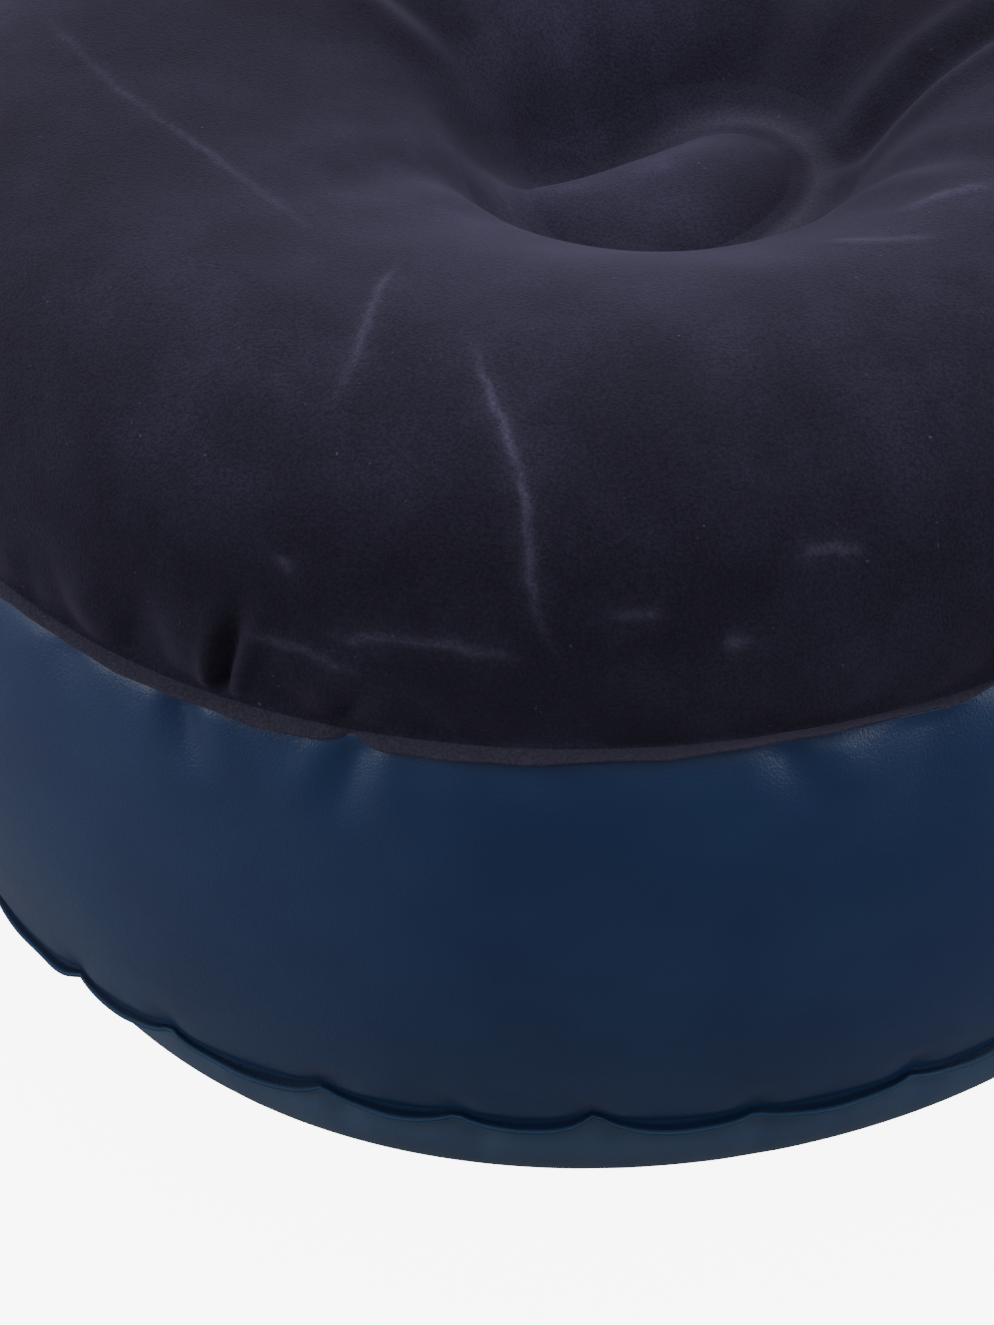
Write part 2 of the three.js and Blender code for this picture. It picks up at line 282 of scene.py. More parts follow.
def pvcMaterial(name, deep, worn, roughness, bumpMm):
    material, tree, shader, place = newMaterial(name)
    cloud, grain, ripple = (
        addNode(tree, "ShaderNodeTexNoise", None, {"Vector": place, "Scale": patternScale(sizeMm),
                                                   "Detail": detail, "Roughness": rough}).outputs["Fac"]
        for sizeMm, detail, rough in ((skin["cloudMm"], 3, 0.5), (skin["grainMm"], 2, 0.6),
                                      (skin["rippleMm"], 2, 0.5)))
    fading = addNode(tree, "ShaderNodeMapRange", {"interpolation_type": "SMOOTHSTEP"},
                     {"Value": cloud, "From Min": 0.3, "From Max": 0.7}).outputs[0]
    face, edgeGlint = (addNode(tree, "ShaderNodeAttribute", {"attribute_name": part}).outputs["Fac"]
                 for part in ("shadedWeldFace", "paintedEdgeHighlight"))
    colour = linearColour(deep)
    # mixes in the painted shade on the weld's face and the painted highlight along its edge
    for share, other in ((fading, worn), (face, skin["shadedWeldFace"]), (edgeGlint, skin["paintedEdgeHighlight"])):
        colour = addNode(tree, "ShaderNodeMix", {"data_type": "RGBA"},
                         {0: share, 6: colour, 7: linearColour(other)}).outputs[2]
    tree.links.new(colour, shader.inputs["Base Color"])
    rough = addNode(tree, "ShaderNodeMapRange", None,
                    {"Value": grain, "From Min": 0.3, "From Max": 0.7,
                     "To Min": roughness - 0.06, "To Max": roughness + 0.06})
    tree.links.new(rough.outputs[0], shader.inputs["Roughness"])
    wide = addNode(tree, "ShaderNodeBump", None,
                   {"Strength": 0.5, "Distance": bumpMm * mm, "Height": ripple})
    fine = addNode(tree, "ShaderNodeBump", None,
                   {"Strength": 1.0, "Distance": 0.2 * mm, "Height": grain, "Normal": wide.outputs[0]})
    tree.links.new(fine.outputs[0], shader.inputs["Normal"])
    # the welding bar leaves the face of the weld dull
    dull = addNode(tree, "ShaderNodeMapRange", None, {"Value": face, "To Min": 0.5, "To Max": 0.0})
    tree.links.new(dull.outputs[0], shader.inputs["Specular IOR Level"])
    shader.inputs["IOR"].default_value = 1.53
    return material


# Moulded soft PVC: poured into a spark-eroded steel mould. It gives a dull, finely pitted skin, paler
# in soft clouds. The valve's film is cast PVC, 0.3 mm: glossy and milky.
valve = {"deep": "#12284a", "pale": "#1d3a62", "pitMm": 0.5, "cloudMm": 9,
         "film": "#8f9db0", "filmPale": "#a9b5c4", "flowMm": 4}


def mouldedMaterial(name, deep, pale, cloudMm, roughness, clear):
    material, tree, shader, place = newMaterial(name)
    cloud, pits = (
        addNode(tree, "ShaderNodeTexNoise", None, {"Vector": place, "Scale": patternScale(sizeMm),
                                                   "Detail": 2, "Roughness": rough}).outputs["Fac"]
        for sizeMm, rough in ((cloudMm, 0.5), (valve["pitMm"], 0.6)))
    share = addNode(tree, "ShaderNodeMapRange", {"interpolation_type": "SMOOTHSTEP"},
                    {"Value": cloud, "From Min": 0.35, "From Max": 0.7}).outputs[0]
    colour = addNode(tree, "ShaderNodeMix", {"data_type": "RGBA"},
                     {0: share, 6: linearColour(deep), 7: linearColour(pale)}).outputs[2]
    tree.links.new(colour, shader.inputs["Base Color"])
    bump = addNode(tree, "ShaderNodeBump", None,
                   {"Strength": 0.3 - 0.3 * bool(clear), "Distance": 0.06 * mm, "Height": pits})
    tree.links.new(bump.outputs[0], shader.inputs["Normal"])
    shader.inputs["Roughness"].default_value = roughness
    shader.inputs["Transmission Weight"].default_value = clear
    shader.inputs["IOR"].default_value = 1.53
    return material


def floorMaterial():
    material, tree, shader, place = newMaterial("paleStudioFloor")
    shader.inputs["Base Color"].default_value = linearColour("#f4f4f4")
    shader.inputs["Roughness"].default_value = 0.9
    shader.inputs["Specular IOR Level"].default_value = 0.1
    shader.inputs["Emission Color"].default_value = (1, 1, 1, 1)
    shader.inputs["Emission Strength"].default_value = studio["floorGlow"]
    return material


flockedPvc = flockMaterial()
sidePvc = pvcMaterial("satinCalenderedPvcNavy", "#18315f", "#1e3a66", 0.41, 0.5)
# the bottom sheet is the band's navy PVC painted paler, as light thrown up from the floor
bottomPvc = pvcMaterial("satinCalenderedPvcNavyPaintedBounceLight", "#364b6c", "#405675", 0.46, 0.5)
innerPvc = pvcMaterial("plainCalenderedPvcInner", "#1f3350", "#26405e", 0.5, 0.3)
valvePvc = mouldedMaterial("mouldedSoftPvc", valve["deep"], valve["pale"], valve["cloudMm"], 0.46, 0)
flapFilm = mouldedMaterial("castPvcFilm", valve["film"], valve["filmPale"], valve["flowMm"], 0.25, 0.3)
print("materials made")

def turnAway(angle, other):
    return (angle - other + 180) % 360 - 180


def waves(angle, counts, seed):
    # a wavy line round the whole edge, about -1 to 1
    rng = np.random.default_rng(seed)
    total = np.zeros_like(angle)
    for count in counts:
        total += np.sin(np.radians(angle) * count + rng.uniform(0, 2 * math.pi)) * rng.uniform(0.6, 1)
    return total / math.sqrt(len(counts)) / 0.8


def upperWeld(angle):
    # (how wide the ribbon is, how far its edge rises), in metres
    width = 0.76 + 0.09 * waves(angle, [7, 11, 17, 26], 3) + 0.04 * waves(angle, [53, 71], 4)
    for place, half, depth in welds["pinches"]:
        width -= depth * np.exp(-(turnAway(angle, place) / half) ** 2)
    facing = np.exp(-(turnAway(angle, -122) / 40) ** 4) + 0.4 * waves(angle, [2, 3], 5)
    rise = 2.0 - 4.4 * facing + 0.7 * waves(angle, [9, 14, 23, 37], 8)
    return width * welds["upperWidth"] * mm, rise * mm


def peaksAt(angle):
    # 1 where the lower weld is nipped up, 0 in the arcs between
    total = np.zeros_like(angle)
    for place in welds["notches"]:
        size = 0.7 + 0.3 * math.cos(7 * place)
        total = np.maximum(total, size * np.exp(-np.abs(turnAway(angle, place)) / welds["notchReach"]))
    return total


def lowerWeld(angle):
    width = (0.6 + 0.07 * waves(angle, [21, 34, 55], 12) - 0.4 * peaksAt(angle)) * welds["lowerWidth"]
    rise = -2.8 + 2.6 * peaksAt(angle) + 0.6 * waves(angle, [13, 19, 31], 14)
    return width * mm, rise * mm


def seamLift(points):
    # neither weld is quite level: the upper one rides up at the left, and the lower one hangs in arcs
    angle = np.degrees(np.arctan2(points[:, 1], points[:, 0]))
    rim = easeBetween(np.hypot(points[:, 0], points[:, 1]), 0.2, 0.25)
    upper = 1 - easeBetween(np.abs(points[:, 2] - upperWeldZ), 6 * mm, 45 * mm)
    lower = 1 - easeBetween(np.abs(points[:, 2] - lowerWeldZ), 2 * mm, 20 * mm)
    left = np.exp(-(turnAway(angle, welds["leftAngle"]) / welds["leftReach"]) ** 2)
    hanging = welds["notchRise"] * peaksAt(angle) - welds["hang"] - welds["leftDrop"] * left
    return (welds["leftRise"] * left * upper + hanging * lower) * rim * mm


def paintWeldShadeAndHighlight(piece, rest, weldZ, weldWidth):
    # a weld is pressed dull; its face is painted dark as shade under the band's bulge, and a pale line is
    # painted along its outer edge as a highlight
    out = np.hypot(rest[:, 0], rest[:, 1]) - seamRadius
    near = np.abs(rest[:, 2] - weldZ) < 1.3 * mm
    # painted highlight: a pale line along the weld's outer edge
    edge = easeBetween(out, (weldWidth - 0.9) * mm, (weldWidth - 0.4) * mm)
    paint(piece, "paintedEdgeHighlight", edge * near)
    # painted shade: the weld's face darkened where the band's bulge shades it
    paint(piece, "shadedWeldFace", easeBetween(out, 0.3 * mm, 1.5 * mm) * near * 0.85)


def bendRibbon(points, rest, weldZ, weldWidth, ribbon):
    # stretches and lifts what stands out past the weld line; `rest` is where the points were at first
    radius = np.hypot(points[:, 0], points[:, 1])
    angle = np.degrees(np.arctan2(points[:, 1], points[:, 0]))
    out = np.clip((np.hypot(rest[:, 0], rest[:, 1]) - seamRadius) / (weldWidth * mm), 0, 1.2)
    near = (np.abs(rest[:, 2] - weldZ) < 1.3 * mm) & (out > 0)
    width, rise = ribbon(angle)
    goal = seamRadius + out * width
    scale = np.where(near, goal / np.maximum(radius, 1e-9), 1)
    points[:, 0] *= scale
    points[:, 1] *= scale
    points[:, 2] += np.where(near, out ** 1.3 * rise, 0)
    return np.where(near, np.clip(out * 4, 0, 1), 0)


def pucker(points, normals, folds, weldZ):
    # folds that start at a weld and die out: (angle, half width, depth, length, lean in degrees), mm
    angle = np.degrees(np.arctan2(points[:, 1], points[:, 0]))
    radius = np.hypot(points[:, 0], points[:, 1])
    away = np.hypot(seamRadius - radius, points[:, 2] - weldZ)
    push = np.zeros(len(points))
    for place, half, depth, length, lean in folds:
        across = np.radians(turnAway(angle, place + lean * away / (length * mm))) * seamRadius / mm
        half = half * (1 + 0.9 * away / (length * mm))
        valley = np.exp(-(np.abs(across) / half) ** 1.6)
        lips = 0.34 * np.exp(-((np.abs(across) - 1.9 * half) / half) ** 2)
        along = easeBetween(away, 0, 7 * mm) * (1 - easeBetween(away, 0.25 * length * mm, length * mm))
        push += depth * mm * (lips - valley) * along
    return points + normals * push[:, None]


def scatterFolds(seed, low, high, step, half, depth, length):
    # more folds of the same kind on the stretch from low to high degrees
    rng = np.random.default_rng(seed)
    folds = []
    angle = low
    while angle < high:
        size = rng.uniform(0.5, 1.2)
        folds.append((angle, half * size, depth * size * rng.uniform(0.5, 1.2), length * size,
                      rng.uniform(-4, 4)))
        angle += step * rng.uniform(0.5, 1.5)
    return folds


top = {
    "steps": 224, "rings": 60,
    "crown": [(272.5, 0.2), (264, 0.6), (240, 0.86), (206, 0.98), (172, 1.0), (138, 0.96), (108, 0.87),
              (90, 0.75)],                        # (radius in mm, share of the crown's height)
    "swell": 17,
    "toneAndPaintedLight": [  # (x, y, reach in mm, how much paler or darker the colour is painted there as light and shade)
        (-30, -98, 50, 0.38), (60, -100, 60, 0.16), (10, -5, 45, 0.75), (70, 0, 30, -0.35),
        (0, 75, 45, 0.7), (170, 60, 80, -0.45), (-200, -60, 80, -0.32), (-110, 60, 60, -0.42)],
    "folds": [(-117.3, 2.6, 6.6, 50, 3), (-121.8, 9, 2.6, 46, -2), (-125.6, 8, 3.6, 40, 3),
              (-130.8, 10, 2.4, 50, -3), (-136, 8, 2.8, 34, 2), (-142, 11, 2.2, 44, 0), (-108, 4, 3.0, 26, 3),
              (-111.5, 8, 1.5, 36, -2), (-101, 8, 1.2, 34, -3), (-91, 10, 1.1, 40, 2), (-80, 9, 1.1, 34, 0),
              (-71, 8, 1.0, 30, 2)],              # as in pucker
    "creases": [  # points on the crown in mm, half width, height and how pale the crushed pile is
        ([(-205, 30), (-176, -23), (-133, -76), (-89, -132)], 1.2, 0.7, 0.5),
        ([(-63, -150), (-72, -185), (-78, -211), (-85, -222)], 1.3, 0.8, 0.6),
        ([(-39, -197), (-33, -221), (-24, -243), (-18, -261, 262), (-12, -267, 242)], 1.4, 1.0, 0.75),
        ([(-112, -245, 236), (-95, -253, 235), (-75, -260, 230)], 1.6, 1.4, 0.5),
        ([(-85, -254, 242), (-52, -262, 244), (-22, -267, 241)], 1.5, 0.8, 0.6),
        ([(61, -252, 267), (72, -250, 268), (83, -247, 266)], 1.3, 0.6, 0.6),
        ([(3, -264, 255), (13, -265, 256), (22, -264, 254)], 1.3, 0.6, 0.5),
        ([(42, -264, 243), (46, -263, 243)], 2.2, 0.6, 0.6),
        ([(-97, -242, 265), (-95, -243, 262)], 2.0, 0.5, 0.5),
        ([(77, -133), (100, -140), (118, -138)], 3.0, 0.8, 0.35),
        ([(104, -112), (122, -106), (140, -102)], 3.5, 1.0, 0.4),
        ([(150, 60), (185, 35), (215, 10)], 1.8, 1.0, 0.6),
        ([(40, 210), (85, 215), (125, 190)], 1.6, 0.9, 0.6),
        ([(-120, 150), (-95, 190), (-60, 215)], 1.6, 0.9, 0.6),
    ],
    "drawLines": [  # long soft folds that run out of the dimple: points, half width, depth in mm
        ([(-46, 52), (-66, 68), (-92, 92), (-130, 120)], 9, 5.0),
        ([(86, 4), (118, 12), (152, 26), (196, 48)], 9, 5.5),
        ([(-44, -38), (-72, -66), (-96, -98)], 11, 1.6),
        ([(60, 62), (82, 96), (98, 140)], 12, 4.0),
        ([(4, 72), (-4, 108), (-12, 150)], 12, 3.5),
        ([(88, -40), (122, -62), (152, -88)], 10, 2.0),
    ],
}


hollow = {  # places are from the tether's axis, in mm
    "deepAt": (-28, 56), "deepWide": 37, "deep": 25, "lean": 9,
    "fillAt": (-63, -12), "fillWide": 26, "fill": 15,
    "rimAt": (0, -100), "rimWide": (80, 45), "rimDip": 8,
}


def sagOf(points):
    # how the middle of the top hangs: deepest behind and to the left, leaning up to the right
    x, y = (points[:, 0] - discX) / mm, points[:, 1] / mm
    (deepX, deepY), (fillX, fillY), (rimX, rimY) = hollow["deepAt"], hollow["fillAt"], hollow["rimAt"]
    rimWide, rimDeep = hollow["rimWide"]
    pit = np.exp(-((x - deepX) ** 2 + (y - deepY) ** 2) / hollow["deepWide"] ** 2)
    pit *= 1 - 0.7 * easeBetween(-x - 0.3 * y, 36, 76)
    inside = easeBetween(1 - np.hypot(x, y) * mm / (discRadius * 1.3), 0, 0.4)
    lean = hollow["lean"] * inside * x * mm / discRadius
    fill = hollow["fill"] * np.exp(-((x - fillX) ** 2 + (y - fillY) ** 2) / hollow["fillWide"] ** 2)
    rim = hollow["rimDip"] * np.exp(-(((x - rimX) / rimWide) ** 2 + ((y - rimY) / rimDeep) ** 2))
    return (lean + fill - hollow["deep"] * pit - rim) * mm


def nearestOn(points, line):
    # each point of the line moved onto the surface
    found = []
    for spot in line:
        spot = np.array(spot) * mm
        gap = np.sum((points[:, :len(spot)] - spot) ** 2, axis=1)
        gap = gap + np.where(points[:, 2] < upperWeldZ + 0.3 * mm, 1, 0)
        if len(spot) == 2:
            gap = gap + (1 - easeBetween(points[:, 2], upperWeldZ, upperWeldZ + 60 * mm)) * mm
        found.append(points[np.argmin(gap)])
    return np.array(found)


def distanceTo(points, line, reach):
    # from each point to the line, and 0 to 1 along it; far points are left at `reach`
    distance = np.full(len(points), reach)
    share = np.zeros(len(points))
    low, high = line.min(0) - reach, line.max(0) + reach
    near = np.where(np.all((points > low) & (points < high), axis=1))[0]
    spots = points[near]
    best, where = np.full(len(near), reach), np.zeros(len(near))
    for i, (a, b) in enumerate(zip(line, line[1:])):
        run = b - a
        t = np.clip((spots - a) @ run / max(run @ run, 1e-12), 0, 1)
        gap = np.linalg.norm(spots - a - t[:, None] * run, axis=1)
        closer = gap < best
        best[closer] = gap[closer]
        where[closer] = ((i + t) / (len(line) - 1))[closer]
    distance[near] = best
    share[near] = where
    return distance, share


def topSection(weldTop, disc):
    # the sheet cut through the axis: its inner skin, round the weld's edge and back along its outer skin
    crownHeight = topHigh.z - upperWeldZ - welds["thickness"] * mm
    edge = seamRadius + welds["upperWidth"] * mm
    crown = [(seamRadius + 0.4 * mm, weldTop)]
    crown += [(r * mm, weldTop + share * crownHeight) for r, share in top["crown"]]
    crown += [(discRadius + 10 * mm, disc + 14 * mm), (discRadius + 1 * mm, disc + 0.8 * mm),
              (discRadius - 8 * mm, disc)]
    inside = discRadius - 8 * mm
    swell = [(inside * share, disc + top["swell"] * mm * (1 - share ** 2)) for share in (0.8, 0.5, 0.2, 0.02)]
    outer = [tuple(spot) for spot in smoothLine(crown + swell, top["rings"])]
    ribbonTop = [(edge - step * mm, weldTop) for step in (0, 0.6, 3, 6)]
    thin = welds["thickness"] * mm
    under = [(seamRadius - 1 * mm, weldTop - thin), (edge - 0.6 * mm, weldTop - thin), (edge, weldTop - thin)]
    inner = []
    for r, z in outer[2::4] + [outer[-1]]:
        wall = (1 + 3 * easeBetween(r, discRadius + 8 * mm, discRadius + 40 * mm)) * mm
        inner.append((r - wall * (r > 0.12), z - wall))
    return inner[::-1] + under + ribbonTop + outer


def drawnIn(flat, outerSkin):
    # the long soft folds that run out of the dimple, as a push along the normals
    push = np.zeros(len(flat))
    for line, half, depth in top["drawLines"]:
        gap, share = distanceTo(flat, smoothLine(nearestOn(outerSkin, line), 24), 4 * half * mm)
        fade = np.sin(np.pi * np.clip(share, 0.02, 0.98)) ** 0.7
        shape = np.exp(-(gap / (half * mm)) ** 2) - 0.5 * np.exp(-((gap / mm - 2 * half) / half) ** 2)
        push -= depth * mm * fade * shape * (gap < 3.9 * half * mm)
    return push


def creased(flat, outerSkin):
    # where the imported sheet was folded: a low ridge, and the crushed pile on it
    push, pale = np.zeros(len(flat)), np.zeros(len(flat))
    wobble = [softNoise(flat, 13 * mm, seed) for seed in (71, 72, 73)]
    wavy = flat + 1.1 * mm * np.stack(wobble, axis=1)
    for line, half, rise, light in top["creases"]:
        route = nearestOn(outerSkin, smoothLine(nearestOn(outerSkin, line), 26) / mm)
        gap, share = distanceTo(wavy, route, 9 * half * mm)
        fade = np.clip(np.sin(np.pi * np.clip(share, 0.03, 0.97)) * 1.4, 0, 1)
        fade *= 0.78 + 0.22 * softNoise(flat, 7 * mm, 61)
        core = np.exp(-(gap / (half * mm)) ** 2) * fade
        halo = np.exp(-(gap / (4 * half * mm)) ** 2) * fade
        push += rise * mm * core
        pale = np.maximum(pale, light * (0.8 * core + 0.2 * halo))
    return push, pale


def ringWeldAndHighlight(flat, disc):
    # the weld to the tether is pressed flat and pale; the paleness is painted strongest at the right as a
    # highlight, and weaker at the left as painted shade
    reach = np.hypot(flat[:, 0] - discX, flat[:, 1])
    ring = np.exp(-((reach - discRadius + 4 * mm) / (3.8 * mm)) ** 6)
    bearing = np.degrees(np.arctan2(flat[:, 1], flat[:, 0] - discX))
    # painted highlight at the right, painted shade at the left
    ring *= 0.35 + 0.65 * np.exp(-(turnAway(bearing, 5) / 70) ** 4)
    return ring * (flat[:, 2] < disc + 10 * mm)


def toneWithPaintedLight(flat):
    # random tone, plus painted light and shade: paler on the near rim and in the dimple, darker elsewhere
    toneAndPaintedLight = 1 + 0.10 * softNoise(flat, 0.06, 81) + 0.06 * softNoise(flat, 0.022, 82)
    for x, y, wide, light in top["toneAndPaintedLight"]:
        toneAndPaintedLight += light * np.exp(-((flat[:, 0] / mm - x) ** 2 + (flat[:, 1] / mm - y) ** 2) / wide ** 2)
    return toneAndPaintedLight


def makeTop():
    weldTop = upperWeldZ + welds["thickness"] * mm + 0.2 * mm
    disc = ringHigh.z + 1.2 * mm
    piece = turnProfile("flockedTop", inPlane(topSection(weldTop, disc)), top["steps"])
    useModifier(piece, "SUBSURF", levels=2, render_levels=2)
    closeEnds(piece)
    points = readPoints(piece)
    normals, sideways = outwardNormals(piece, points)
    outside = normals[:, 2] + sideways > 0
    normals *= np.where(outside, 1, -1)[:, None]
    rest = points.copy()
    radius = np.hypot(points[:, 0], points[:, 1])
    onCrown = points[:, 2] > weldTop + 1 * mm
    points[:, 2] += seamLift(points)

    # the dimple stands over the tether, off the middle
    points[:, 0] += discX * (1 - easeBetween(radius, 90 * mm, 200 * mm))
    flat = points.copy()
    outerSkin = flat[outside]

    # slack and lumps left by the air, and a fuller shoulder at the back left
    height = easeBetween(points[:, 2], weldTop, weldTop + 40 * mm)
    push = height * (2.2 * mm * softNoise(flat, 0.11, 21) + 0.7 * mm * softNoise(flat, 0.045, 22))
    shoulder = np.exp(-((flat[:, 0] + 0.2) ** 2 + (flat[:, 1] - 0.07) ** 2) / 0.1 ** 2)
    push += 9 * mm * height * shoulder
    points[:, 2] += sagOf(flat)
    ridges, pale = creased(flat, outerSkin)
    push += drawnIn(flat, outerSkin) + ridges
    points += normals * (push * height)[:, None]
    folds = top["folds"] + scatterFolds(31, -62, 212, 8, 8, 2.4, 40)
    points = pucker(points, normals * onCrown[:, None], folds, weldTop)
    weld = bendRibbon(points, rest, upperWeldZ, welds["upperWidth"], upperWeld)
    writePoints(piece, points)
    paint(piece, "crease", pale)
    paint(piece, "weld", np.maximum(weld, ringWeldAndHighlight(flat, disc) * onCrown))
    # painted light and shade, with a little random tone, as a colour map on the top
    paint(piece, "toneAndPaintedLight", toneWithPaintedLight(flat))
    piece.data.materials.append(flockedPvc)
    smoothShade(piece)
    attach(piece, "seat")
    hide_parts("top_panel")
    print("top:", len(piece.data.vertices), "points,", len(top["drawLines"]), "draw lines")


makeTop()

band = {
    "steps": 256, "rings": 44, "bulge": 13, "roundness": 0.55,
    "upperFolds": [(-120.7, 5, 3.2, 36, 2), (-106.4, 5, 3.4, 42, -2), (-77.2, 6, 2.6, 34, 2),
                   (-66, 14, 3.0, 60, -3), (-131, 7, 1.5, 30, 0), (-95, 9, 1.0, 26, 2)],  # as in pucker
}


def wallRadius(share):
    # the band's outer face, from one weld (0) to the other (1)
    return seamRadius + band["bulge"] * mm * np.sin(np.pi * share) ** band["roundness"]


def makeBand():
    high, low = bandHigh.z, bandLow.z
    thin = welds["thickness"] * 0.8 * mm
    wall = []
    for share in np.linspace(0, 1, band["rings"]):
        z = high - thin + (low - high + 2 * thin) * share
        wall.append((wallRadius(share), z))
    upper = seamRadius + welds["upperWidth"] * mm - 0.6 * mm
    lower = seamRadius + welds["lowerWidth"] * mm
    inner = [(r - 2 * mm, z) for r, z in wall[2:-2:5]]
    profile = [(seamRadius - 2 * mm, high), (upper, high), (upper, high - thin),
               (seamRadius + 3 * mm, high - thin)] + wall
    profile += [(seamRadius + 3 * mm, low + thin), (lower, low + thin), (lower, low),
                (seamRadius - 2 * mm, low)] + inner[::-1]
    profile.append(profile[0])
    piece = turnProfile("sideBand", inPlane(profile), band["steps"])
    useModifier(piece, "SUBSURF", levels=1, render_levels=1)
    points = readPoints(piece)
    normals, sideways = outwardNormals(piece, points)
    normals *= np.where(sideways > 0, 1, -1)[:, None]
    rest = points.copy()
    edge = np.minimum(high - points[:, 2], points[:, 2] - low)
    fromValve = np.hypot(points[:, 0], points[:, 2] - valveZ) + np.where(points[:, 1] > 0, 0, 1)
    free = easeBetween(fromValve, valveHigh.x + 3 * mm, valveHigh.x + 30 * mm)
    push = 1.8 * mm * softNoise(points, 0.12, 41) + 0.4 * mm * softNoise(points, 0.04, 42)
    points += normals * (push * free * easeBetween(edge, 2 * mm, 20 * mm))[:, None]
    points[:, 2] += seamLift(points)
    reach = normals * (free * easeBetween(edge, 1.2 * mm, 6 * mm))[:, None]
    upperFolds = band["upperFolds"] + scatterFolds(51, -56, 220, 11, 6, 2.4, 34)
    points = pucker(points, reach, upperFolds, high)
    lowerFolds = [(place, 5, 1.2, 22, 3 * math.sin(place)) for place in welds["notches"]]
    points = pucker(points, reach, lowerFolds, low)
    bendRibbon(points, rest, upperWeldZ, welds["upperWidth"], upperWeld)
    bendRibbon(points, rest, lowerWeldZ, welds["lowerWidth"], lowerWeld)
    writePoints(piece, points)
    paintWeldShadeAndHighlight(piece, rest, lowerWeldZ, welds["lowerWidth"])
    piece.data.materials.append(sidePvc)
    smoothShade(piece)
    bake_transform(piece)
    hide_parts("side_band")
    print("band:", len(piece.data.vertices), "points")


makeBand()


bottom = {"steps": 256, "swell": 9}


def makeBottom():
    weldLow = bottomHigh.z - welds["thickness"] * mm
    recess = baseRingLow.z - 1.2 * mm
    rim = [(seamRadius, weldLow), (seamRadius + 3.2 * mm, 23 * mm), (seamRadius, 10.5 * mm),
           (seamRadius - 8 * mm, 3 * mm), (seamRadius - 21 * mm, 0.2 * mm), (seamRadius - 40 * mm, 0)]
    floor = [(0.19, 0), (0.15, 0.3 * mm), (0.115, 5 * mm), (0.085, 15 * mm), (discRadius, recess)]
    inside = discRadius - 8 * mm
    middle = [(inside * share, recess - bottom["swell"] * mm * (1 - share ** 2))
              for share in (1, 0.6, 0.3, 0.02)]
    outer = [tuple(p) for p in smoothLine(rim + floor + middle, 52)]
    edge = seamRadius + welds["lowerWidth"] * mm - 0.3 * mm
    high = bottomHigh.z
    inner = []
    for r, z in outer[4::4] + [outer[-1]]:
        wall = (1 + 2 * easeBetween(r, discRadius + 8 * mm, discRadius + 40 * mm)) * mm
        inner.append((r - wall * (r > 0.12), z + wall))
    profile = inner[::-1] + [(seamRadius - 3 * mm, high), (edge, high), (edge, weldLow),
                             (seamRadius + 2.5 * mm, weldLow)] + outer
    piece = turnProfile("bottomSheet", inPlane(profile), bottom["steps"])
    useModifier(piece, "SUBSURF", levels=1, render_levels=1)
    closeEnds(piece)
    points = readPoints(piece)
    normals, sideways = outwardNormals(piece, points)
    normals *= np.where(sideways - normals[:, 2] > 0, 1, -1)[:, None]
    radius = np.hypot(points[:, 0], points[:, 1])
    rest = points.copy()
    points[:, 0] += discX * (1 - easeBetween(radius, 66 * mm, 149 * mm))
    # the rim is drawn in a little, most at the left
    angle = np.degrees(np.arctan2(points[:, 1], points[:, 0]))
    drawn = (3 + 8 * np.exp(-(turnAway(angle, -147) / 22) ** 2) + 1.5 * waves(angle, [2, 3, 5], 17)) * mm
    drawn *= easeBetween(radius, 200 * mm, 260 * mm) * easeBetween(weldLow - points[:, 2], 0, 10 * mm)
    points[:, :2] *= (1 - drawn / np.maximum(radius, 1 * mm))[:, None]
    points[:, 2] += seamLift(points)
    folds = [(place + 1.5, 5, 1.6, 26, 0) for place in welds["notches"]]
    folds += scatterFolds(61, -180, 180, 3.5, 2.4, 0.5, 30)
    rimOnly = easeBetween(weldLow - rest[:, 2], 0.5 * mm, 5 * mm) * (radius > seamRadius - 12 * mm)
    points = pucker(points, normals * rimOnly[:, None], folds, weldLow)
    bendRibbon(points, rest, lowerWeldZ, welds["lowerWidth"], lowerWeld)
    points[:, 2] = np.maximum(points[:, 2], 0)
    writePoints(piece, points)
    paintWeldShadeAndHighlight(piece, rest, lowerWeldZ, welds["lowerWidth"])
    piece.data.materials.append(bottomPvc)
    smoothShade(piece)
    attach(piece, "base")
    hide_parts("bottom_panel")
    print("bottom:", len(piece.data.vertices), "points")


makeBottom()

tether = {"steps": 96, "rings": 26, "waist": 7, "film": 0.8}


def makeRing(name, low, high, centreX, hole, sag):
    inside, outside, soft = hole, (high.x - low.x) / 2, 0.2 * mm
    profile = [(inside, low.z + soft), (inside + soft, low.z), (outside - soft, low.z),
               (outside, low.z + soft), (outside, high.z - soft), (outside - soft, high.z),
               (inside + soft, high.z), (inside, high.z - soft), (inside, low.z + soft)]
    piece = turnProfile(name, inPlane(profile), tether["steps"])
    points = readPoints(piece)
    points[:, 0] += centreX
    if sag:
        points[:, 2] += sagOf(points)
    writePoints(piece, points)
    piece.data.materials.append(innerPvc)
    smoothShade(piece)
    return piece


